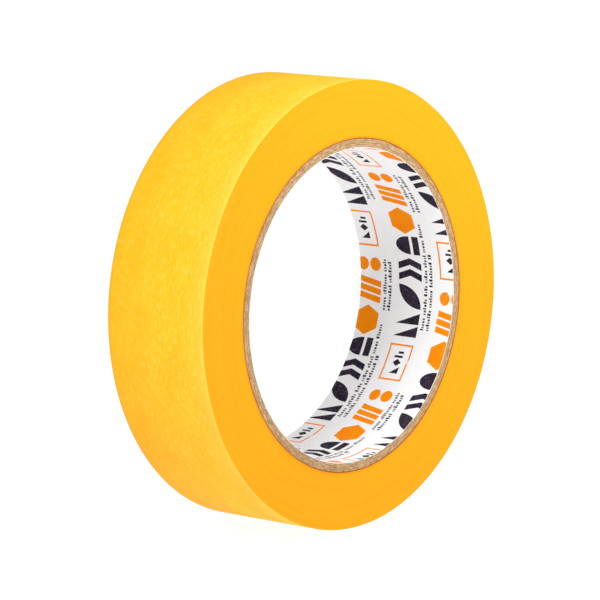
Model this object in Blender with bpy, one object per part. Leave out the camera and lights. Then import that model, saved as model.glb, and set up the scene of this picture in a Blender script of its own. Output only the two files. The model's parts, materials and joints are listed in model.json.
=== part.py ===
"""A roll of washi masking tape: a spiral-wound paper core that carries one long strip of thin adhesive tape.

The roll stands on its tread. Its axis lies along Y, its front face looks towards -Y, and the origin is on the
surface that it stands on, straight below its centre. Angles run clockwise from the top, as seen from the front.
The core is a white liner and kraft plies, each a paper strip wound in a helix with a butt seam. The last stretch
of the tape's outermost turn is cut into short lengths that hinge on each other, so that the free end can peel.
"""

import math
from collections import namedtuple

import bmesh
import bpy
from mathutils import Vector

# Driving dimensions, in metres.
TAPE_WIDTH = 0.030
TAPE_LENGTH = 50.0
TAPE_THICKNESS = 0.000084
BORE_RADIUS = 0.0381
LINER_THICKNESS = 0.00012
PLY_THICKNESS = 0.0005
PLY_COUNT = 4
GLUE_LINE = 0.00003

# The helix that every ply of the core follows, and its butt seams.
WINDING_ANGLE = math.radians(25)
SEAM_GAP = 0.0003
LINER_SEAM_ANGLE = math.radians(86.5)
SEAM_STAGGER = math.radians(72)
SHORTEST_TIP = 0.0005

# The free end: a lead of short lengths, each a whole number of facets long.
LEAD_LENGTHS = 6
FACETS_PER_LENGTH = 3
LEAD_FIRST_FACET = 8
LEAD_BED_GAP = 0.00002
LEAD_END_GAP = 0.00005

FACETS = 96
STEP = 2 * math.pi / FACETS
HALF_WIDTH = TAPE_WIDTH / 2

PLY_OFFSET = LINER_THICKNESS + GLUE_LINE
CORE_WALL = PLY_OFFSET + PLY_COUNT * (PLY_THICKNESS + GLUE_LINE)
TAPE_INNER_RADIUS = BORE_RADIUS + CORE_WALL
ROLL_RADIUS = math.sqrt(TAPE_INNER_RADIUS**2 + TAPE_LENGTH * TAPE_THICKNESS / math.pi)

PEEL_ANGLE = (LEAD_FIRST_FACET - 0.5) * STEP
TIP_ANGLE = PEEL_ANGLE + LEAD_LENGTHS * FACETS_PER_LENGTH * STEP

# One radial cut through a strip: its angle, its two radii, and its front and back edges along Y.
Column = namedtuple("Column", "angle inner outer front back")


def tape_radius(angle):
    """The outer radius of the outermost turn, which grows by one tape thickness over a turn and ends at the tip."""
    turn = (angle - TIP_ANGLE) % (2 * math.pi) / (2 * math.pi)
    return ROLL_RADIUS - TAPE_THICKNESS * (1 - (turn or 1))


def roll_point(angle, radius, y):
    return Vector((radius * math.sin(angle), y, radius * math.cos(angle)))


def grid_angles(first, last):
    """The facet corners from first to last. A flat facet, and not a corner, is lowest on the roll."""
    start = math.ceil(first / STEP - 0.5)
    stop = math.floor(last / STEP - 0.5)
    return [(i + 0.5) * STEP for i in range(start, stop + 1)]


def make_material(name, colour, roughness):
    material = bpy.data.materials.new(name)
    material.use_nodes = True
    shader = material.node_tree.nodes["Principled BSDF"]
    shader.inputs["Base Color"].default_value = (*colour, 1)
    shader.inputs["Roughness"].default_value = roughness
    shader.inputs["Metallic"].default_value = 0
    return material


def make_strip(name, columns, material, parent, closed=False, origin=None):
    """A solid through the columns. Its object's origin is the given point, in the roll's own coordinates."""
    origin = origin or Vector()
    shape = bmesh.new()
    cuts = []
    for column in columns:
        corners = (
            (column.inner, column.front),
            (column.outer, column.front),
            (column.outer, column.back),
            (column.inner, column.back),
        )
        cuts.append([shape.verts.new(roll_point(column.angle, r, y) - origin) for r, y in corners])
    following = cuts[1:] + cuts[:1] if closed else cuts[1:]
    for this, after in zip(cuts, following):
        for i in range(4):
            j = (i + 1) % 4
            shape.faces.new((this[i], this[j], after[j], after[i]))
    if not closed:
        shape.faces.new(cuts[0])
        shape.faces.new(cuts[-1])
    bmesh.ops.recalc_face_normals(shape, faces=shape.faces)
    mesh = bpy.data.meshes.new(name)
    shape.to_mesh(mesh)
    shape.free()
    mesh.shade_smooth()
    mesh.set_sharp_from_angle(angle=math.radians(30))
    mesh.materials.append(material)
    strip = bpy.data.objects.new(name, mesh)
    strip.parent = parent
    strip.location = origin
    bpy.context.scene.collection.objects.link(strip)
    return strip


def make_ply(name, inner, thickness, seam_angle, material, parent):
    """One helical strip of the core, cut off flush at both faces. It meets itself at a slanting butt seam."""
    sweep = TAPE_WIDTH / math.tan(WINDING_ANGLE) / BORE_RADIUS
    columns = []
    for angle in grid_angles(seam_angle, seam_angle + 2 * math.pi + sweep):
        rise = (angle - seam_angle) / sweep * TAPE_WIDTH - HALF_WIDTH
        rise_a_turn_on = (angle - seam_angle - 2 * math.pi) / sweep * TAPE_WIDTH - HALF_WIDTH
        back = min(HALF_WIDTH, rise - SEAM_GAP / 2)
        front = max(-HALF_WIDTH, rise_a_turn_on + SEAM_GAP / 2)
        if back - front >= SHORTEST_TIP:
            columns.append(Column(angle, inner, inner + thickness, front, back))
    return make_strip(name, columns, material, parent)


def make_core(parent):
    white = make_material("liner_paper", (0.85, 0.85, 0.87), 0.5)
    kraft = make_material("kraft_board", (0.55, 0.38, 0.22), 0.9)
    make_ply("core_liner", BORE_RADIUS, LINER_THICKNESS, LINER_SEAM_ANGLE, white, parent)
    for i in range(PLY_COUNT):
        inner = BORE_RADIUS + PLY_OFFSET + i * (PLY_THICKNESS + GLUE_LINE)
        seam_angle = LINER_SEAM_ANGLE + (i + 1) * SEAM_STAGGER
        make_ply(f"core_ply_{i + 1}", inner, PLY_THICKNESS, seam_angle, kraft, parent)


def make_wound_tape(parent, tape):
    """Every turn but the lead, as one solid, with a shallow bed in its outside where the lead lies."""
    bed_edge = LEAD_END_GAP / ROLL_RADIUS
    columns = []
    for angle in grid_angles(TIP_ANGLE - 2 * math.pi, PEEL_ANGLE - STEP):
        columns.append((angle, tape_radius(angle)))
    columns[0] = (columns[0][0] + bed_edge, ROLL_RADIUS - TAPE_THICKNESS)
    columns.append((PEEL_ANGLE - bed_edge, tape_radius(PEEL_ANGLE)))
    for angle in grid_angles(PEEL_ANGLE, TIP_ANGLE):
        columns.append((angle, tape_radius(angle) - TAPE_THICKNESS - LEAD_BED_GAP))
    cuts = [Column(angle, TAPE_INNER_RADIUS, outer, -HALF_WIDTH, HALF_WIDTH) for angle, outer in columns]
    return make_strip("wound_tape", cuts, tape, parent, closed=True)


def make_lead(parent, tape):
    """The peelable end of the outermost turn. Each length turns about its own start, on the tape's outside."""
    span = FACETS_PER_LENGTH * STEP
    end_trim = LEAD_END_GAP / 2 / ROLL_RADIUS
    hinge_before = Vector()
    for i in range(LEAD_LENGTHS):
        start = PEEL_ANGLE + i * span
        angles = [start + j * STEP for j in range(FACETS_PER_LENGTH + 1)]
        hinge = roll_point(start, tape_radius(start), 0)
        columns = []
        for angle in angles:
            outer = tape_radius(angle)
            columns.append(Column(angle, outer - TAPE_THICKNESS, outer, -HALF_WIDTH, HALF_WIDTH))
        columns[0] = columns[0]._replace(angle=start + end_trim)
        columns[-1] = columns[-1]._replace(angle=start + span - end_trim)
        length = make_strip(f"tape_lead_{i + 1}", columns, tape, parent, origin=hinge)
        length.location = hinge - hinge_before
        hinge_before = hinge
        parent = length


def lowest_radius():
    """How far the lowest facet lies below the roll's axis."""
    below = grid_angles(math.pi - STEP, math.pi + STEP)
    return max(-roll_point(angle, tape_radius(angle), 0).z for angle in below)


def main():
    for old in list(bpy.data.objects):
        bpy.data.objects.remove(old)
    axis = bpy.data.objects.new("roll_axis", None)
    axis.location = (0, 0, lowest_radius())
    bpy.context.scene.collection.objects.link(axis)
    tape = make_material("washi_tape", (1.0, 0.62, 0.05), 0.6)
    make_core(axis)
    make_wound_tape(axis, tape)
    make_lead(axis, tape)


main()
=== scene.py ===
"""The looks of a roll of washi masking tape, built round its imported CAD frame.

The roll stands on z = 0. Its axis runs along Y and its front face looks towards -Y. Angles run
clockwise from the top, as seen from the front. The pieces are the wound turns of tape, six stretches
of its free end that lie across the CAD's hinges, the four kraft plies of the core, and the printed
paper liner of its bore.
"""

import json
import math
import random

import bpy
import numpy as np
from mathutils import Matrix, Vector, noise
from mathutils.geometry import delaunay_2d_cdt


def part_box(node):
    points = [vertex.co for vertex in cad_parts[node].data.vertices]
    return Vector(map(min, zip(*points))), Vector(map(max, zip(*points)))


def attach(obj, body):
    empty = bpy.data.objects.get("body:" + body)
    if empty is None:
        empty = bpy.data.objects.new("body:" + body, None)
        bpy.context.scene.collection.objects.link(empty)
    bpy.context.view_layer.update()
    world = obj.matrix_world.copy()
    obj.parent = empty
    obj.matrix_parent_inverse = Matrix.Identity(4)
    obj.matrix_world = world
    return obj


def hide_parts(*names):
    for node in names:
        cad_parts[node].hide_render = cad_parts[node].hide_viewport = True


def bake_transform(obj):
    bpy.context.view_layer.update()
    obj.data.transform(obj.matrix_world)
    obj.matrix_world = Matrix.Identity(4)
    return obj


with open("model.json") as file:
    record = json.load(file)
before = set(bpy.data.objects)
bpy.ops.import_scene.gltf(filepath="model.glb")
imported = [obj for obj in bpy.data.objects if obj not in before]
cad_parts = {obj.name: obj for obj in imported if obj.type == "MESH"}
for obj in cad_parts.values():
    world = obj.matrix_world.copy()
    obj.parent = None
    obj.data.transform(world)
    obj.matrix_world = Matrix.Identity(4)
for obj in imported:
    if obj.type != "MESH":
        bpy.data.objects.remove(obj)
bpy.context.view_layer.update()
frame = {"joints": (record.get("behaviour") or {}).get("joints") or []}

MM = 0.001
TURN = 2 * math.pi
LINER_NODE = "core_liner"
PLY_NODES = [f"core_ply_{i}" for i in range(1, 5)]
LEAD_NODES = [f"tape_lead_{i}" for i in range(1, 7)]

# What the roll is wound from.
TAPE_THICKNESS = 0.084 * MM
LINER_THICKNESS = 0.12 * MM
GLUE_LINE = 0.03 * MM
WINDING_ANGLE = math.radians(25)
LINER_SEAM_ANGLE = math.radians(86.5)
SEAM_STAGGER = math.radians(72)
SEAM_GAP = 0.02 * MM

# The name of the UV layer that holds millimetres along and across the tape.
STRIP_UV = "strip"

SHARP_FROM = math.radians(35)


def inner_circle(node):
    """The radius of the circle that touches a round node's flat facets from inside."""
    low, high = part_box(node)
    return (high.x - low.x) / 2


HALF_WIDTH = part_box("wound_tape")[1].y
CENTRE_Z = sum(corner.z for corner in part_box(LINER_NODE)) / 2
ROLL_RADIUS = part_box(LEAD_NODES[-1])[1].x
LINER_RADIUS = inner_circle(LINER_NODE) - LINER_THICKNESS
PLY_RADII = [inner_circle(node) for node in PLY_NODES]
TAPE_INNER_RADIUS = PLY_RADII[-1] + GLUE_LINE

HINGES = [Vector(joint["pos_m"]) for joint in frame["joints"]]
HINGE_ANGLES = [math.atan2(hinge.x, hinge.z - CENTRE_Z) for hinge in HINGES]
LEAD_SPAN = HINGE_ANGLES[1] - HINGE_ANGLES[0]
TIP_ANGLE = HINGE_ANGLES[-1] + LEAD_SPAN


def tape_radius(angle):
    """The outer radius of the outermost turn, which grows by a tape's thickness up to the tip."""
    turn = (angle - TIP_ANGLE) % TURN / TURN
    return ROLL_RADIUS - TAPE_THICKNESS * (1 - (turn or 1))


def round_points(angle, radius, y):
    """Points of the roll, from arrays of angles, radii and places along the axis."""
    angle, radius, y = np.broadcast_arrays(angle, radius, y)
    return np.stack([radius * np.sin(angle), y, CENTRE_Z + radius * np.cos(angle)], axis=-1)


def divided(corners, step):
    """Values from the first corner to the last, at most a step apart, with every corner among them."""
    stretches = zip(corners, corners[1:])
    parts = [np.linspace(a, b, math.ceil((b - a) / step), endpoint=False) for a, b in stretches]
    return np.concatenate(parts + [corners[-1:]])


def roughness_at(points, scale):
    """Smooth noise from about -1 to 1 at each of the points, which are arrays of x, y and z."""
    flat = np.asarray(points).reshape(-1, 3) * scale
    values = [noise.noise(point) for point in flat.tolist()]
    return np.array(values).reshape(np.shape(points)[:-1])


# --------------------------------------------------------------------------------------------------
# Meshes
# --------------------------------------------------------------------------------------------------


def make_mesh_piece(name, points, faces, face_materials, materials, strip_uv=None):
    """A smooth-shaded object with sharp edges. The UVs, if any, are one pair for each point."""
    mesh = bpy.data.meshes.new(name)
    mesh.from_pydata(points.reshape(-1, 3).tolist(), [], faces)
    for material in materials:
        mesh.materials.append(material)
    mesh.polygons.foreach_set("material_index", np.asarray(face_materials, dtype=np.int32))
    if strip_uv is not None:
        corners = np.zeros(len(mesh.loops), dtype=np.int32)
        mesh.loops.foreach_get("vertex_index", corners)
        layer = mesh.uv_layers.new(name=STRIP_UV)
        layer.uv.foreach_set("vector", strip_uv.reshape(-1, 2)[corners].astype(np.float32).ravel())
    mesh.shade_smooth()
    mesh.set_sharp_from_angle(angle=SHARP_FROM)
    piece = bpy.data.objects.new(name, mesh)
    bpy.context.scene.collection.objects.link(piece)
    return piece


def loft(name, outlines, row_materials, materials, strip_uv=None, closed=False):
    """A solid through closed outlines, one for each angle. An outline starts at the front, runs over
    the outside to the back and returns along the inside. A closed loft goes all the way round, and
    an open one is capped at both ends."""
    columns, rows = outlines.shape[:2]
    faces = []
    face_materials = []
    for i in range(columns if closed else columns - 1):
        this, after = i * rows, (i + 1) % columns * rows
        for j in range(rows):
            k = (j + 1) % rows
            faces.append((this + j, after + j, after + k, this + k))
        face_materials.extend(row_materials)
    if not closed:
        faces.append(tuple(range(rows)))
        faces.append(tuple(reversed(range((columns - 1) * rows, columns * rows))))
        face_materials.extend([row_materials[0]] * 2)
    return make_mesh_piece(name, outlines, faces, face_materials, materials, strip_uv)


# --------------------------------------------------------------------------------------------------
# Shader nodes
# --------------------------------------------------------------------------------------------------


def add_node(tree, kind, inputs=None, **settings):
    """A new shader node. Its inputs, by name or number, take values or other nodes' output sockets."""
    made = tree.nodes.new(f"ShaderNode{kind}")
    for key, value in settings.items():
        setattr(made, key, value)
    for key, value in (inputs or {}).items():
        if isinstance(value, bpy.types.NodeSocket):
            tree.links.new(value, made.inputs[key])
        else:
            made.inputs[key].default_value = value
    return made


def new_material(name, **shader_values):
    """A material, its node tree and its shader, with the values set on the shader's own sockets."""
    material = bpy.data.materials.new(name)
    material.use_nodes = True
    shader = material.node_tree.nodes["Principled BSDF"]
    for key, value in shader_values.items():
        shader.inputs[key.replace("_", " ").title().replace("Ior", "IOR")].default_value = value
    return material, material.node_tree, shader


def maths(tree, operation, first, second=0.0):
    return add_node(tree, "Math", {0: first, 1: second}, operation=operation).outputs[0]


def ramp_between(tree, value, low, high, to_low=0.0, to_high=1.0):
    """A smooth way from to_low to to_high, as the value goes from low to high."""
    ends = {"From Min": low, "From Max": high, "To Min": to_low, "To Max": to_high}
    made = add_node(tree, "MapRange", {"Value": value, **ends}, interpolation_type="SMOOTHSTEP")
    return made.outputs["Result"]


def scaled(tree, vector, factors):
    """The vector times one factor for each axis. In a noise over millimetres, larger is finer."""
    return add_node(tree, "VectorMath", {0: vector, 1: factors}, operation="MULTIPLY").outputs["Vector"]


def noise_at(tree, vector, detail=2.0, distortion=0.0, roughness=0.5):
    inputs = {"Scale": 1.0, "Detail": detail, "Distortion": distortion, "Roughness": roughness}
    return add_node(tree, "TexNoise", {"Vector": vector, **inputs}).outputs["Fac"]


def mix_colours(tree, factor, first, second):
    """From the first colour to the second. Each is an RGB triple or a socket."""
    made = add_node(tree, "Mix", data_type="RGBA", clamp_factor=True)
    for number, value in ((0, factor), (6, first), (7, second)):
        if isinstance(value, bpy.types.NodeSocket):
            tree.links.new(value, made.inputs[number])
        elif number == 0:
            made.inputs[number].default_value = value
        else:
            made.inputs[number].default_value = (*value, 1)
    return made.outputs[2]


def bump(tree, shader, height, depth):
    """Gives the shader a bump of that depth in metres."""
    made = add_node(tree, "Bump", {"Height": height, "Distance": depth, "Strength": 1.0})
    tree.links.new(made.outputs["Normal"], shader.inputs["Normal"])


def strip_millimetres(tree):
    """Millimetres along and across the tape."""
    return add_node(tree, "UVMap", uv_map=STRIP_UV).outputs["UV"]


def roll_millimetres(tree):
    """Millimetres from the roll's centre."""
    place = add_node(tree, "TexCoord").outputs["Object"]
    centred = add_node(tree, "VectorMath", {0: place, 1: (0, 0, CENTRE_Z)}, operation="SUBTRACT")
    return scaled(tree, centred.outputs["Vector"], (1 / MM,) * 3)


def radius_millimetres(tree, centred):
    flat = scaled(tree, centred, (1, 0, 1))
    return add_node(tree, "VectorMath", {0: flat}, operation="LENGTH").outputs["Value"]


def fibre_lines(tree, vector, width):
    """Thin curling lines, one where they run and zero elsewhere: the contour of a noise."""
    field = noise_at(tree, vector, detail=1.0, distortion=1.2)
    away = maths(tree, "ABSOLUTE", maths(tree, "SUBTRACT", field, 0.5))
    return ramp_between(tree, away, 0.0, width, 1.0, 0.0)


# --------------------------------------------------------------------------------------------------
# Materials
# --------------------------------------------------------------------------------------------------

TAPE_DEEP = (0.97, 0.47, 0.004)
TAPE_PALE = (0.99, 0.56, 0.022)
# Pale flecks of fibre, and also the colour of the painted highlight along the tape's front edge.
TAPE_FLECK_AND_HIGHLIGHT = (1.0, 0.72, 0.12)
# The deeper orange of the painted shade over the back of the tape's width.
TAPE_BACK_SHADE = (0.95, 0.36, 0.001)
TAPE_FRAY = (1.0, 0.80, 0.34)
ADHESIVE_DEEP = (0.86, 0.40, 0.02)
ADHESIVE_PALE = (0.93, 0.52, 0.05)
SIDE_DEEP = (0.98, 0.375, 0.001)
SIDE_PALE = (0.99, 0.435, 0.010)
SIDE_AT_CORE = (0.90, 0.24, 0.001)
# The colour of the painted shade along the joint between the core and the tape.
CORE_JOINT_SHADE = (0.30, 0.10, 0.02)
KRAFT_DARK = (0.29, 0.15, 0.062)
KRAFT_MID = (0.57, 0.36, 0.17)
KRAFT_PALE = (0.76, 0.53, 0.31)
LINER_WHITE = (0.945, 0.960, 0.970)
LINER_GREY = (0.915, 0.932, 0.945)
INK_DARK = (0.018, 0.012, 0.026)
INK_DARK_THIN = (0.040, 0.028, 0.048)
INK_ORANGE = (0.97, 0.25, 0.001)
INK_ORANGE_THIN = (0.98, 0.29, 0.003)
FLOOR_DARK = (0.16, 0.16, 0.16)
FLOOR_LIGHT = (0.18, 0.18, 0.18)


def washi_material():
    """Washi paper: faint clouds, fine streaks along the tape and short pale flecks of fibre. A painted
    highlight makes its front edge paler, and a painted shade makes the back of its width deeper, than
    the middle. The torn end shows its pale fibres."""
    material, tree, shader = new_material("washi_paper", roughness=0.7, specular_ior_level=0.18)
    strip = strip_millimetres(tree)
    clouds = noise_at(tree, scaled(tree, strip, (0.08, 0.16, 1)), detail=2.0)
    streaks = noise_at(tree, scaled(tree, strip, (0.45, 3.0, 1)), detail=3.0, roughness=0.6)
    flecks = noise_at(tree, scaled(tree, strip, (0.55, 1.15, 1)), detail=3.0, roughness=0.65)
    grain = noise_at(tree, scaled(tree, strip, (2.2, 6.0, 1)), detail=2.0)
    clouds = maths(tree, "MULTIPLY", clouds, 0.4)
    tone = maths(tree, "ADD", clouds, maths(tree, "MULTIPLY", streaks, 0.6))
    paper = mix_colours(tree, ramp_between(tree, tone, 0.35, 0.65), TAPE_DEEP, TAPE_PALE)
    pale_flecks = ramp_between(tree, flecks, 0.46, 0.72, 0.0, 0.40)
    flecked = mix_colours(tree, pale_flecks, paper, TAPE_FLECK_AND_HIGHLIGHT)
    torn_end = TIP_ANGLE * ROLL_RADIUS / MM
    parts = add_node(tree, "SeparateXYZ", {0: strip})
    frayed = ramp_between(tree, parts.outputs["X"], torn_end - 1.3, torn_end - 0.3, 0.0, 0.75)
    across = parts.outputs["Y"]
    front = -HALF_WIDTH / MM
    # Painted highlight: the front edge is mixed towards a pale colour, broadly over 8 mm and more
    # strongly in a narrow line.
    broad = ramp_between(tree, across, front, front + 8.0, 0.20, 0.0)
    narrow_highlight = ramp_between(tree, across, front + 0.2, front + 1.3, 0.25, 0.0)
    front_highlighted = mix_colours(tree, maths(tree, "ADD", broad, narrow_highlight), flecked, TAPE_FLECK_AND_HIGHLIGHT)
    # Painted shade: the back of the tape's width is mixed towards a deeper orange, most of all in its
    # last millimetre.
    back_half_shade = ramp_between(tree, across, 0.3 * front, -front, 0.0, 0.42)
    last = ramp_between(tree, across, -front - 1.0, -front, 0.0, 0.35)
    behind = maths(tree, "ADD", back_half_shade, last)
    shaded = mix_colours(tree, behind, front_highlighted, TAPE_BACK_SHADE)
    tree.links.new(mix_colours(tree, frayed, shaded, TAPE_FRAY), shader.inputs["Base Color"])
    tree.links.new(ramp_between(tree, streaks, 0.3, 0.7, 0.62, 0.78), shader.inputs["Roughness"])
    relief = maths(tree, "ADD", maths(tree, "ADD", streaks, flecks), grain)
    bump(tree, shader, relief, 0.025 * MM)
    return material


def adhesive_material():
    """The tape's sticky inner face: the same paper, smoother, with fine drag lines of adhesive."""
    material, tree, shader = new_material("tape_adhesive", roughness=0.45, specular_ior_level=0.35)
    strip = strip_millimetres(tree)
    drag = noise_at(tree, scaled(tree, strip, (0.12, 3.0, 1)), detail=3.0)
    blotches = noise_at(tree, scaled(tree, strip, (0.5, 0.6, 1)), detail=2.0)
    colour = mix_colours(tree, ramp_between(tree, blotches, 0.3, 0.7), ADHESIVE_DEEP, ADHESIVE_PALE)
    tree.links.new(colour, shader.inputs["Base Color"])
    tree.links.new(ramp_between(tree, drag, 0.3, 0.7, 0.36, 0.56), shader.inputs["Roughness"])
    bump(tree, shader, maths(tree, "ADD", drag, blotches), 0.015 * MM)
    return material


def rings_at(tree, place, per_millimetre, along=0.03, detail=2.0):
    """Noise drawn out round the roll's axis: fine from ring to ring, and slow along each one."""
    radius = radius_millimetres(tree, place)
    slow = add_node(tree, "SeparateXYZ", {0: scaled(tree, place, (along,) * 3)})
    outwards = maths(tree, "MULTIPLY", radius, per_millimetre)
    parts = {"X": outwards, "Y": slow.outputs["X"], "Z": slow.outputs["Z"]}
    return noise_at(tree, add_node(tree, "CombineXYZ", parts).outputs["Vector"], detail=detail)


def wound_edges_material():
    """The cut edges of the wound turns: very fine rings and some stronger ones. Near the core they turn
    deeper orange, and a painted shade darkens the joint with the core."""
    material, tree, shader = new_material("wound_edges", roughness=0.62, specular_ior_level=0.1)
    place = roll_millimetres(tree)
    fine = rings_at(tree, place, 4.0)
    broad = rings_at(tree, place, 0.9)
    fuzz = noise_at(tree, scaled(tree, place, (2.5, 2.5, 2.5)), detail=2.0)
    rings = maths(tree, "MULTIPLY", fine, 0.45)
    rings = maths(tree, "ADD", rings, maths(tree, "MULTIPLY", broad, 0.25))
    faint_fuzz = maths(tree, "MULTIPLY", fuzz, 0.3)
    tone = maths(tree, "ADD", rings, faint_fuzz)
    paper = mix_colours(tree, ramp_between(tree, tone, 0.3, 0.7), SIDE_DEEP, SIDE_PALE)
    radius = radius_millimetres(tree, place)
    core_edge = TAPE_INNER_RADIUS / MM
    deepening = ramp_between(tree, radius, core_edge, core_edge + 0.9, 0.8, 0.0)
    # Painted shade: a dark line on the side face within 0.2 mm of the joint with the core.
    joint = ramp_between(tree, radius, core_edge + 0.06, core_edge + 0.20, 0.8, 0.0)
    deepened = mix_colours(tree, deepening, paper, SIDE_AT_CORE)
    tree.links.new(mix_colours(tree, joint, deepened, CORE_JOINT_SHADE), shader.inputs["Base Color"])
    tree.links.new(ramp_between(tree, fine, 0.3, 0.7, 0.55, 0.70), shader.inputs["Roughness"])
    bump(tree, shader, maths(tree, "ADD", fine, faint_fuzz), 0.012 * MM)
    return material


def kraft_material():
    """Kraft board: brown pulp in thin layers, with pale fibres and dark specks, and a painted shade
    along the core's outside, where it meets the tape."""
    material, tree, shader = new_material("kraft_board", roughness=0.9, specular_ior_level=0.1)
    place = roll_millimetres(tree)
    layers = rings_at(tree, place, 3.2, along=0.6, detail=3.0)
    pulp = noise_at(tree, scaled(tree, place, (2.4, 2.4, 2.4)), detail=3.0, roughness=0.6)
    speckle = noise_at(tree, scaled(tree, place, (3.6, 3.6, 3.6)), detail=1.0)
    specks = ramp_between(tree, speckle, 0.62, 0.72)
    fibres = fibre_lines(tree, scaled(tree, place, (1.2, 1.2, 1.2)), 0.03)
    layered = maths(tree, "MULTIPLY", layers, 0.55)
    tone = maths(tree, "ADD", layered, maths(tree, "MULTIPLY", pulp, 0.45))
    body = mix_colours(tree, ramp_between(tree, tone, 0.38, 0.64), KRAFT_DARK, KRAFT_PALE)
    even = mix_colours(tree, 0.25, body, KRAFT_MID)
    fibrous = mix_colours(tree, maths(tree, "MULTIPLY", fibres, 0.3), even, KRAFT_PALE)
    speckled = mix_colours(tree, maths(tree, "MULTIPLY", specks, 0.6), fibrous, KRAFT_DARK)
    radius = radius_millimetres(tree, place)
    outside = PLY_RADII[-1] / MM
    # Painted shade: the last 0.3 mm of the core's outside darkens towards the joint with the tape.
    rim = ramp_between(tree, radius, outside - 0.30, outside - 0.02, 0.0, 0.7)
    tree.links.new(mix_colours(tree, rim, speckled, CORE_JOINT_SHADE), shader.inputs["Base Color"])
    tree.links.new(ramp_between(tree, pulp, 0.3, 0.7, 0.82, 0.97), shader.inputs["Roughness"])
    bump(tree, shader, maths(tree, "ADD", pulp, layers), 0.05 * MM)
    return material


def paper_grain(tree, place):
    """A clay-coated paper's faint cloudiness and fine tooth."""
    cloud = noise_at(tree, scaled(tree, place, (0.25, 0.25, 0.25)), detail=3.0)
    tooth = noise_at(tree, scaled(tree, place, (4.0, 4.0, 4.0)), detail=3.0)
    return cloud, tooth


def liner_material():
    """White coated paper with a soft sheen."""
    material, tree, shader = new_material("liner_white", roughness=0.45, specular_ior_level=0.35)
    cloud, tooth = paper_grain(tree, roll_millimetres(tree))
    cloudy = maths(tree, "MULTIPLY", cloud, 0.6)
    tone = maths(tree, "ADD", cloudy, maths(tree, "MULTIPLY", tooth, 0.4))
    white = mix_colours(tree, ramp_between(tree, tone, 0.35, 0.65), LINER_GREY, LINER_WHITE)
    tree.links.new(white, shader.inputs["Base Color"])
    tree.links.new(ramp_between(tree, tooth, 0.3, 0.7, 0.40, 0.55), shader.inputs["Roughness"])
    bump(tree, shader, tone, 0.02 * MM)
    return material


def ink_material(name, ink, thin_ink, pinholes):
    """Flexographic ink on the liner: uneven in density, with pinholes where the paper shows through."""
    material, tree, shader = new_material(name, roughness=0.55, specular_ior_level=0.03)
    place = roll_millimetres(tree)
    cloud, tooth = paper_grain(tree, place)
    density = ramp_between(tree, maths(tree, "ADD", cloud, tooth), 0.8, 1.2)
    holes = noise_at(tree, scaled(tree, place, (3.2, 3.2, 3.2)), detail=2.0)
    open_holes = ramp_between(tree, holes, 0.62, 0.74, 0.0, pinholes)
    printed = mix_colours(tree, density, ink, thin_ink)
    tree.links.new(mix_colours(tree, open_holes, printed, LINER_WHITE), shader.inputs["Base Color"])
    tree.links.new(ramp_between(tree, tooth, 0.3, 0.7, 0.48, 0.65), shader.inputs["Roughness"])
    bump(tree, shader, maths(tree, "ADD", tooth, open_holes), 0.015 * MM)
    return material


def floor_material():
    """A pale studio sweep that is lit from below as well, as on a light table."""
    material, tree, shader = new_material("studio_floor", roughness=0.8, emission_strength=FLOOR_GLOW)
    shader.inputs["Emission Color"].default_value = (1, 1, 1, 1)
    place = add_node(tree, "TexCoord").outputs["Object"]
    cloud = noise_at(tree, scaled(tree, place, (3.0, 3.0, 3.0)), detail=2.0)
    colour = mix_colours(tree, ramp_between(tree, cloud, 0.3, 0.7), FLOOR_DARK, FLOOR_LIGHT)
    tree.links.new(colour, shader.inputs["Base Color"])
    return material


# --------------------------------------------------------------------------------------------------
# The tape
# --------------------------------------------------------------------------------------------------

EDGE_ROUND = 0.04 * MM
BED_GAP = 0.004 * MM
TAPE_COLUMNS = 384
SIDE_RINGS = 57
RING_DEPTH = 0.012 * MM
RINGS_PER_METRE = 1.6 / MM
RINGS_ALONG = 0.7
BACK_RINGS_TURN = 1.0
TREAD_WAVE = 0.006 * MM
TREAD_WAVES_PER_METRE = 0.4 / MM
TREAD_ROWS = 31
TORN_ROWS = 121
TEAR_DEPTH = 0.6 * MM
WAVES_PER_MM = 0.3
NICKS_PER_MM = 1.7
COLUMNS_PER_PIECE = 44
FIRST_BEND = 3 * MM


def tread_outline(rows=TREAD_ROWS):
    """Across the tape from front to back: how far the outer face drops at its rounded edges, and the
    place along Y."""
    corner = [math.radians(step) for step in (90, 45, 0)]
    drops = [EDGE_ROUND * (1 - math.cos(turn)) for turn in corner]
    reach = [HALF_WIDTH - EDGE_ROUND + EDGE_ROUND * math.sin(turn) for turn in corner]
    flat = list(np.linspace(-reach[-1], reach[-1], rows)[1:-1])
    across = [-y for y in reach] + flat + reach[::-1]
    return np.array(drops + [0.0] * len(flat) + drops[::-1]), np.array(across)


def strip_uv(angles, y):
    """Millimetres along and across the tape at each point of a grid."""
    return np.stack(np.broadcast_arrays(angles * ROLL_RADIUS / MM, y / MM), axis=-1)


def side_rings(angles, radii):
    """How deep each point of a side face lies, since the wound edges are never quite flush. The depth
    changes quickly from ring to ring and slowly along each one."""
    spread = np.broadcast_to(angles[:, None], radii.shape)
    along = RINGS_ALONG * np.stack([np.cos(spread), np.sin(spread)], axis=-1)
    place = np.concatenate([RINGS_PER_METRE * radii[..., None], along], axis=-1)
    return RING_DEPTH * (0.5 + 0.5 * np.clip(roughness_at(place, 1.0), -1, 1))


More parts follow.
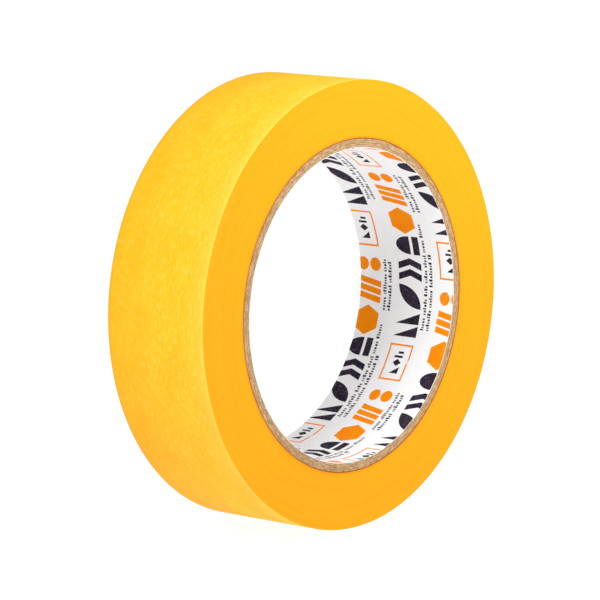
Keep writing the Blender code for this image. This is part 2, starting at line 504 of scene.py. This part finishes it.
def make_wound_turns(washi, edges):
    """Every turn of the tape but its free end, under which the outside steps down by its thickness."""
    step = TURN / TAPE_COLUMNS
    clearance = EDGE_ROUND / ROLL_RADIUS
    tread_angles = divided([TIP_ANGLE - TURN + clearance, HINGE_ANGLES[0]], step)
    bed_angles = divided([HINGE_ANGLES[0] + clearance, TIP_ANGLE], step)
    bed_drop = TAPE_THICKNESS + BED_GAP
    outer = [tape_radius(angle) for angle in tread_angles]
    outer += [tape_radius(angle) - bed_drop for angle in bed_angles]
    angles = np.concatenate([tread_angles, bed_angles])
    outer = np.array(outer)[:, None]
    turns_in = np.repeat([0, 1], [len(tread_angles), len(bed_angles)])

    drops, across = tread_outline()
    share = np.linspace(0, 1, SIDE_RINGS)[:-1]
    side_radii = TAPE_INNER_RADIUS + share * (outer - EDGE_ROUND - TAPE_INNER_RADIUS)
    front = side_rings(angles, side_radii) - HALF_WIDTH
    back = HALF_WIDTH - side_rings(angles + BACK_RINGS_TURN, side_radii)
    wave_place = round_points(angles[:, None], outer, across)
    swell = np.clip(roughness_at(wave_place, TREAD_WAVES_PER_METRE), 0, 1)
    wave = TREAD_WAVE * swell * (drops == 0)
    columns = len(angles)
    radii = np.hstack([side_radii, outer - drops - wave, side_radii[:, ::-1]])
    y = np.hstack([front, np.broadcast_to(across, (columns, len(across))), back[:, ::-1]])
    outlines = round_points(angles[:, None], radii, y)
    # The washi paper is on the tread, and the wound edges are on the side faces and against the core.
    side_rows = len(share)
    row_materials = [1] * side_rows + [0] * (len(across) - 1) + [1] * (side_rows + 1)
    # The tape in the bed is the next turn in, so it lies one turn further back along the strip.
    uv = strip_uv((angles - TURN * turns_in)[:, None], y)
    piece = loft("wound_turns", outlines, row_materials, [washi, edges], uv, closed=True)
    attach(piece, "roll")
    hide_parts("wound_tape")


def tear(y):
    """How far the torn end falls short of a straight cut, at each place across the tape."""
    place = np.stack([y / MM, np.full_like(y, 0.4), np.full_like(y, 0.7)], axis=-1)
    ragged = roughness_at(place, WAVES_PER_MM) + 0.5 * roughness_at(place, NICKS_PER_MM)
    return TEAR_DEPTH * np.clip(0.5 + 0.5 * ragged, 0, 1)


def make_free_end(washi, adhesive):
    """The last stretch of the tape, in pieces. Each piece but the first lies half before a hinge and
    half after it."""
    last = len(LEAD_NODES) - 1
    share = np.linspace(0, 1, COLUMNS_PER_PIECE + 1)[:, None]
    for i, node in enumerate(LEAD_NODES):
        rows = TORN_ROWS if i == last else TREAD_ROWS
        drops, across = tread_outline(rows)
        inner = np.linspace(across[-1], across[0], rows)
        hinge = HINGE_ANGLES[i]
        start = hinge if i == 0 else hinge - LEAD_SPAN / 2
        bend_end = hinge + LEAD_SPAN / 2
        end = hinge + LEAD_SPAN if i == last else bend_end
        even = start + share * (end - start)
        outer = np.array([tape_radius(angle) for angle in even.ravel()])[:, None]
        under = np.broadcast_to(outer - TAPE_THICKNESS, (len(even), len(inner)))
        radii = np.hstack([outer - drops, under])
        y = np.broadcast_to(np.concatenate([across, inner]), radii.shape)
        angles = even - share * tear(y) / ROLL_RADIUS if i == last else even
        row_materials = [0] * len(across) + [1] * (len(inner) - 1) + [0]
        outlines = round_points(angles, radii, y)
        uv = strip_uv(angles, y)
        piece = loft(f"tape_end_{i + 1}", outlines, row_materials, [washi, adhesive], uv)
        bend_from = Vector(round_points(start, tape_radius(start), 0.0))
        bend_to = Vector(round_points(bend_end, tape_radius(bend_end), 0.0))
        if i == 0:
            bend_to = bend_from + (bend_to - bend_from).normalized() * FIRST_BEND
        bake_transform(piece)
        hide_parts(node)


# --------------------------------------------------------------------------------------------------
# The core
# --------------------------------------------------------------------------------------------------

PLY_STEP = 0.6 * MM
PLY_CUT_SAMPLES = 8
SHORTEST_TIP = 0.05 * MM

# Where a ply's walls have points, as shares of the way from their front edge to their back edge.
WALL_SHARES = np.array([0.04, 0.35, 0.65, 0.96])

GROOVE_DEPTH = 0.07 * MM
GROOVE_SHARPNESS = 5
CUT_FUZZ = 0.07 * MM
FUZZ_PER_METRE = 2.5 / MM
FUZZY_FROM_WIDTH = 0.8 * MM


def ply_columns(seam_angle, outer):
    """The angles at which a helical strip is cut, and where its front and back edges lie there. The
    strip starts and ends in a point on its butt seam, and its corners at the two faces fall on a cut."""
    climb = LINER_RADIUS * math.tan(WINDING_ANGLE)
    lead_in = (SEAM_GAP + SHORTEST_TIP) / climb
    across = 2 * HALF_WIDTH / climb
    gap = SEAM_GAP / climb
    corners = [lead_in, across + gap, TURN - gap, TURN + across - lead_in]
    turns = divided(corners, PLY_STEP / outer)
    back = np.minimum(HALF_WIDTH, (turns - gap) * climb - HALF_WIDTH)
    front = np.maximum(-HALF_WIDTH, (turns - TURN + gap) * climb - HALF_WIDTH)
    return (seam_angle + turns)[:, None], front[:, None], back[:, None]


def make_ply(i, kraft):
    """One kraft strip of the core, wound in a helix. At the two faces its cut pulp is a little fuzzy,
    and the cut falls away into a groove at the glue line on either side."""
    outer = PLY_RADII[i]
    inside = LINER_RADIUS + LINER_THICKNESS if i == 0 else PLY_RADII[i - 1]
    inner = inside + GLUE_LINE
    angles, front, back = ply_columns(LINER_SEAM_ANGLE + (i + 1) * SEAM_STAGGER, outer)

    share = np.linspace(0, 1, PLY_CUT_SAMPLES)
    cut_radii = np.broadcast_to(inner + share * (outer - inner), (len(angles), PLY_CUT_SAMPLES))
    groove = GROOVE_DEPTH * np.abs(2 * share - 1) ** GROOVE_SHARPNESS
    taper = np.minimum(1, (back - front) / FUZZY_FROM_WIDTH)
    cuts_in = []
    for edge in (front, back):
        fuzz = CUT_FUZZ * np.abs(roughness_at(round_points(angles, cut_radii, edge), FUZZ_PER_METRE))
        cuts_in.append(taper * (groove + fuzz))
    wall_y = front + WALL_SHARES * (back - front)
    outside_wall = np.full_like(wall_y, outer)
    inside_wall = np.full_like(wall_y, inner)
    radii = np.hstack([cut_radii, outside_wall, cut_radii[:, ::-1], inside_wall])
    y = np.hstack([front + cuts_in[0], wall_y, (back - cuts_in[1])[:, ::-1], wall_y[:, ::-1]])
    outlines = round_points(angles, radii, y)
    piece = loft(f"kraft_ply_{i + 1}", outlines, [0] * outlines.shape[1], [kraft])
    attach(piece, "roll")
    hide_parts(PLY_NODES[i])


# --------------------------------------------------------------------------------------------------
# The print on the liner, in millimetres: x runs along a row of print and y up it.
# --------------------------------------------------------------------------------------------------

PAPER, DARK, ORANGE = range(3)
PRINT_HEIGHT = 7.35
PRINT_REPEAT = 61.2

# The middle row's start round the bore and its base along Y, the steps from one row to the next, and
# how much the rows climb on their way round.
ROW_START = 73.4
ROW_BASE = -4.9
ROW_SHIFT = 27.25
ROW_PITCH = 13.15
PRINT_DRIFT = 0.3

# A framed box stands before the marks of each repeat.
BOX_START = -11.9
BOX_WIDTH = 9.9
BOX_LINE = 0.48
SIGNS_START = 2.0
SIGN_HEIGHT = 2.6


def arc(centre, radii, start, stop, steps=10):
    """Points on an ellipse, between two angles in degrees."""
    points = []
    for i in range(steps + 1):
        turn = math.radians(start + (stop - start) * i / steps)
        points.append((centre[0] + radii[0] * math.cos(turn), centre[1] + radii[1] * math.sin(turn)))
    return points


def rectangle(x, y, width, height):
    return [(x, y), (x + width, y), (x + width, y + height), (x, y + height)]


def sails(w, h):
    return [[(x, 0), (x + w * 0.47, 0), (x, h)] for x in (0, w * 0.53)]


def leaf(w, h):
    return [arc((0, h), (w, h), -90, 0) + arc((w, 0), (w, h), 90, 180)[1:-1]]


def chevrons(w, h):
    thick, point = w * 0.30, w * 0.22
    first = [(0, 0), (thick, 0), (thick + point, h / 2), (thick, h), (0, h), (point, h / 2)]
    return [first, [(x + w * 0.48, y) for x, y in first]]


def dome(w, h):
    return [rectangle(0, 0, w, h * 0.28), arc((w / 2, h * 0.40), (w / 2, h * 0.60), 0, 180)]


def hexagon(w, h):
    return [[(w * 0.25, 0), (w * 0.75, 0), (w, h / 2), (w * 0.75, h), (w * 0.25, h), (0, h / 2)]]


def leaning_bars(w, h):
    bar, lean = w * 0.22, w * 0.20
    return [[(x, 0), (x + bar, 0), (x + bar + lean, h), (x + lean, h)] for x in (0, w * 0.29, w * 0.58)]


def discs(w, h):
    radius = h * 0.235
    return [arc((w / 2, y), (radius, radius), 0, 360, 20)[:-1] for y in (radius, h - radius)]


# Each row of print repeats these marks: the ink, the shape, where it starts along the row, and its
# width.
BIG_MARKS = (
    (DARK, sails, 0.0, 6.1),
    (DARK, leaf, 7.1, 6.0),
    (DARK, chevrons, 14.1, 5.8),
    (DARK, dome, 20.9, 4.9),
    (ORANGE, hexagon, 26.4, 7.7),
    (ORANGE, leaning_bars, 34.7, 6.9),
    (ORANGE, discs, 42.2, 4.7),
)

# Lines of small ticks under a row of print: their start and stop along the row, and their base below
# it. The ticks stand in groups, and no tick starts closer to its line's stop than the last room.
TICK_LINES = ((2.1, 29.8, -1.8), (2.1, 21.5, -3.4), (33.2, 46.5, -1.8), (33.2, 46.5, -3.4))
TICK_HEIGHTS = (0.7, 0.7, 1.05)
TICK_WIDTHS = (0.28, 0.55)
TICK_GAPS = (0.22, 0.32)
TICKS_IN_GROUP = (4, 9)
LAST_ROOM = 0.5
GROUP_GAP = 0.55
TICK_SEED = 4


def box_marks():
    """A thin frame with three small signs in it: a triangle, a diamond and two bars."""
    x = BOX_START + SIGNS_START
    base = (PRINT_HEIGHT - SIGN_HEIGHT) / 2
    middle = base + SIGN_HEIGHT / 2
    top = base + SIGN_HEIGHT
    inner_width = BOX_WIDTH - 2 * BOX_LINE
    inner_height = PRINT_HEIGHT - 2 * BOX_LINE
    return [
        (ORANGE, rectangle(BOX_START, 0, BOX_WIDTH, PRINT_HEIGHT)),
        (PAPER, rectangle(BOX_START + BOX_LINE, BOX_LINE, inner_width, inner_height)),
        (DARK, [(x, base), (x + 1.9, base), (x, top)]),
        (DARK, [(x + 3.0, base), (x + 4.0, middle), (x + 3.0, top), (x + 2.0, middle)]),
        (DARK, rectangle(x + 4.3, base, 0.6, SIGN_HEIGHT)),
        (DARK, rectangle(x + 5.4, base, 0.6, 1.7)),
    ]


def tick_marks():
    """Rows of small upright ticks in groups, which stand for fine print without spelling anything."""
    chance = random.Random(TICK_SEED)
    marks = []
    for start, stop, base in TICK_LINES:
        x = start
        left_in_group = chance.randint(*TICKS_IN_GROUP)
        while x < stop - LAST_ROOM:
            width = chance.uniform(*TICK_WIDTHS)
            marks.append((DARK, rectangle(x, base, width, chance.choice(TICK_HEIGHTS))))
            x += width + chance.uniform(*TICK_GAPS)
            left_in_group -= 1
            if left_in_group == 0:
                x += GROUP_GAP
                left_in_group = chance.randint(*TICKS_IN_GROUP)
    return marks


def row_marks():
    marks = []
    for ink, shape, start, width in BIG_MARKS:
        for outline in shape(width, PRINT_HEIGHT):
            marks.append((ink, [(start + x, y) for x, y in outline]))
    return marks + box_marks() + tick_marks()


# --------------------------------------------------------------------------------------------------
# The liner, laid out flat in millimetres: s runs round the bore from its top, against the print's x,
# and y runs along Y.
# --------------------------------------------------------------------------------------------------

LINER_GRID = 0.8
GRID_MARGIN = 0.5
EDGE_STEP = 0.7
EDGE_JAG = 0.28
LEAST_JAG = 0.15
JAGS_PER_MM = 1.3
ROUND_BORE = TURN * LINER_RADIUS / MM
HALF_ROUND = 2 * PRINT_REPEAT

# The triangulation fills the outlines, and joins points that are closer than this.
FILLED = 1
SAME_POINT = 1e-4


def seam_place(y):
    """Where the liner's seam crosses y."""
    return LINER_SEAM_ANGLE * LINER_RADIUS / MM + (y + HALF_WIDTH / MM) / math.tan(WINDING_ANGLE)


def round_place(p):
    """Where a place along the print falls round the bore, which holds four repeats. The two on the +X
    side keep their pitch, and the other two are tighter."""
    if p <= HALF_ROUND:
        return p
    squeezed = (p - HALF_ROUND) * (ROUND_BORE - HALF_ROUND) / HALF_ROUND + HALF_ROUND
    return min(squeezed, ROUND_BORE) + max(0.0, p - 2 * HALF_ROUND)


def finely(outline):
    """The outline with points added, so that no side is longer than the edge step."""
    fine = []
    for here, after in zip(outline, outline[1:] + outline[:1]):
        count = max(1, math.ceil(math.dist(here, after) / EDGE_STEP))
        for i in range(count):
            share = i / count
            x = here[0] + (after[0] - here[0]) * share
            y = here[1] + (after[1] - here[1]) * share
            fine.append((x, y))
    return fine


def liner_outline():
    """The strip between the two sides of its seam. Its edges at the front and back faces are a little
    ragged."""
    half = HALF_WIDTH / MM
    gap = SEAM_GAP / MM
    corners = [
        (seam_place(-half) + gap, -half),
        (seam_place(-half) + ROUND_BORE - gap, -half),
        (seam_place(half) + ROUND_BORE - gap, half),
        (seam_place(half) + gap, half),
    ]
    ragged = []
    for s, y in finely(corners):
        if math.isclose(abs(y), half):
            jag = EDGE_JAG * (LEAST_JAG + abs(noise.noise((s * JAGS_PER_MM, y, 0))))
            y -= math.copysign(jag, y)
        ragged.append((s, y))
    return ragged


def placed_marks():
    """Every mark of the print on the liner, as an ink and an outline, in the order of printing. The
    outlines are reversed, because s runs against the print's x."""
    first = seam_place(-HALF_WIDTH / MM)
    last = seam_place(HALF_WIDTH / MM) + ROUND_BORE
    marks = []
    for row in (-1, 0, 1):
        for repeat in range(-1, 6):
            start = ROW_START + ROW_SHIFT * row + PRINT_REPEAT * repeat
            for ink, outline in row_marks():
                fine = []
                for x, y in finely(outline):
                    s = round_place(start - x)
                    drift = PRINT_DRIFT * (1 - (s - first) / ROUND_BORE)
                    fine.append((s, ROW_BASE + ROW_PITCH * row + y + drift))
                if max(s for s, y in fine) > first and min(s for s, y in fine) < last:
                    marks.append((ink, fine[::-1]))
    return marks


def liner_grid():
    """Points between the marks, close enough that the flat triangles follow the bore."""
    half = HALF_WIDTH / MM - GRID_MARGIN
    points = []
    for y in np.arange(-half, half, LINER_GRID):
        start = seam_place(y) + GRID_MARGIN
        stop = seam_place(y) + ROUND_BORE - GRID_MARGIN
        for s in np.arange(start, stop, LINER_GRID):
            points.append((s, y))
    return points


def printed_sheet():
    """The flat liner, triangulated with the print cut into it: its points, its triangles, and the ink
    on each triangle. Where marks overlap, the last one printed covers the others."""
    outlines = [(PAPER, liner_outline())] + placed_marks()
    places = []
    loops = []
    for ink, outline in outlines:
        loops.append(list(range(len(places), len(places) + len(outline))))
        places.extend(outline)
    places.extend(liner_grid())
    corners = [Vector(place) for place in places]
    flat, _, faces, _, _, sources = delaunay_2d_cdt(corners, [], loops, FILLED, SAME_POINT)
    inside = [(face, max(source)) for face, source in zip(faces, sources) if 0 in source]
    used = sorted({corner for face, _ in inside for corner in face})
    number = {old: new for new, old in enumerate(used)}
    triangles = [[number[corner] for corner in face] for face, _ in inside]
    inks = [outlines[source][0] for _, source in inside]
    s, y = np.array([tuple(flat[old]) for old in used]).T
    return s, y, triangles, inks


def make_liner(paper, dark, orange):
    """The printed liner: the flat sheet, bent round the bore and given its thickness."""
    s, y, triangles, printed_inks = printed_sheet()
    angles = s * MM / LINER_RADIUS
    printed_side = round_points(angles, LINER_RADIUS, y * MM)
    glued_side = round_points(angles, LINER_RADIUS + LINER_THICKNESS, y * MM)
    points = np.concatenate([printed_side, glued_side])
    behind = len(s)
    printed_faces = [(c, b, a) for a, b, c in triangles]
    glued_faces = [(a + behind, b + behind, c + behind) for a, b, c in triangles]
    edges = {edge: None for a, b, c in triangles for edge in ((a, b), (b, c), (c, a))}
    rim = [(a, b, b + behind, a + behind) for a, b in edges if (b, a) not in edges]
    faces = printed_faces + glued_faces + rim
    inks = printed_inks + [PAPER] * (len(glued_faces) + len(rim))
    piece = make_mesh_piece("printed_liner", points, faces, inks, [paper, dark, orange])
    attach(piece, "roll")
    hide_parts(LINER_NODE)


# --------------------------------------------------------------------------------------------------
# The studio
# --------------------------------------------------------------------------------------------------

ROLL_CENTRE = Vector((0, 0, CENTRE_Z))
CAMERA_LENS = 223.5
CAMERA_PLACE = Vector((-0.6784, -0.5829, 0.1353))
CAMERA_AIM = Vector((-0.0012, 0.0014, -0.0001))
FLOOR_HALF = 60.0
FLOOR_GLOW = 0.94
ROOM_LIGHT = 0.36

# Softboxes: the name, the place from the roll's centre, the width in metres, and the power in watts.
SOFTBOXES = (
    ("key_left", (-0.58, -0.13, 0.68), 0.45, 5.9),
    ("top_front", (0.06, -0.17, 0.16), 0.12, 0.32),
)


def aim(thing, place, target):
    thing.location = place
    thing.rotation_euler = (target - place).to_track_quat("-Z", "Y").to_euler()


def make_camera():
    data = bpy.data.cameras.new("camera")
    data.lens = CAMERA_LENS
    camera = bpy.data.objects.new("camera", data)
    bpy.context.scene.collection.objects.link(camera)
    aim(camera, ROLL_CENTRE + CAMERA_PLACE, ROLL_CENTRE + CAMERA_AIM)
    bpy.context.scene.camera = camera


def make_softboxes():
    for name, place, width, power in SOFTBOXES:
        data = bpy.data.lights.new(name, "AREA")
        data.size = width
        data.energy = power
        light = bpy.data.objects.new(name, data)
        light.visible_camera = False
        bpy.context.scene.collection.objects.link(light)
        aim(light, ROLL_CENTRE + Vector(place), ROLL_CENTRE)


def make_floor():
    mesh = bpy.data.meshes.new("floor")
    half = FLOOR_HALF
    corners = [(-half, -half, 0), (half, -half, 0), (half, half, 0), (-half, half, 0)]
    mesh.from_pydata(corners, [], [(0, 1, 2, 3)])
    mesh.materials.append(floor_material())
    floor = bpy.data.objects.new("floor", mesh)
    bpy.context.scene.collection.objects.link(floor)


def make_world():
    world = bpy.data.worlds.new("studio")
    world.use_nodes = True
    background = world.node_tree.nodes["Background"]
    background.inputs["Color"].default_value = (1, 1, 1, 1)
    background.inputs["Strength"].default_value = ROOM_LIGHT
    bpy.context.scene.world = world
    bpy.context.scene.view_settings.view_transform = "Standard"


def make_roll():
    washi = washi_material()
    make_wound_turns(washi, wound_edges_material())
    make_free_end(washi, adhesive_material())
    kraft = kraft_material()
    for i in range(len(PLY_NODES)):
        make_ply(i, kraft)
    dark = ink_material("ink_dark", INK_DARK, INK_DARK_THIN, 0.26)
    orange = ink_material("ink_orange", INK_ORANGE, INK_ORANGE_THIN, 0.04)
    make_liner(liner_material(), dark, orange)


make_roll()
make_floor()
make_world()
make_softboxes()
make_camera()
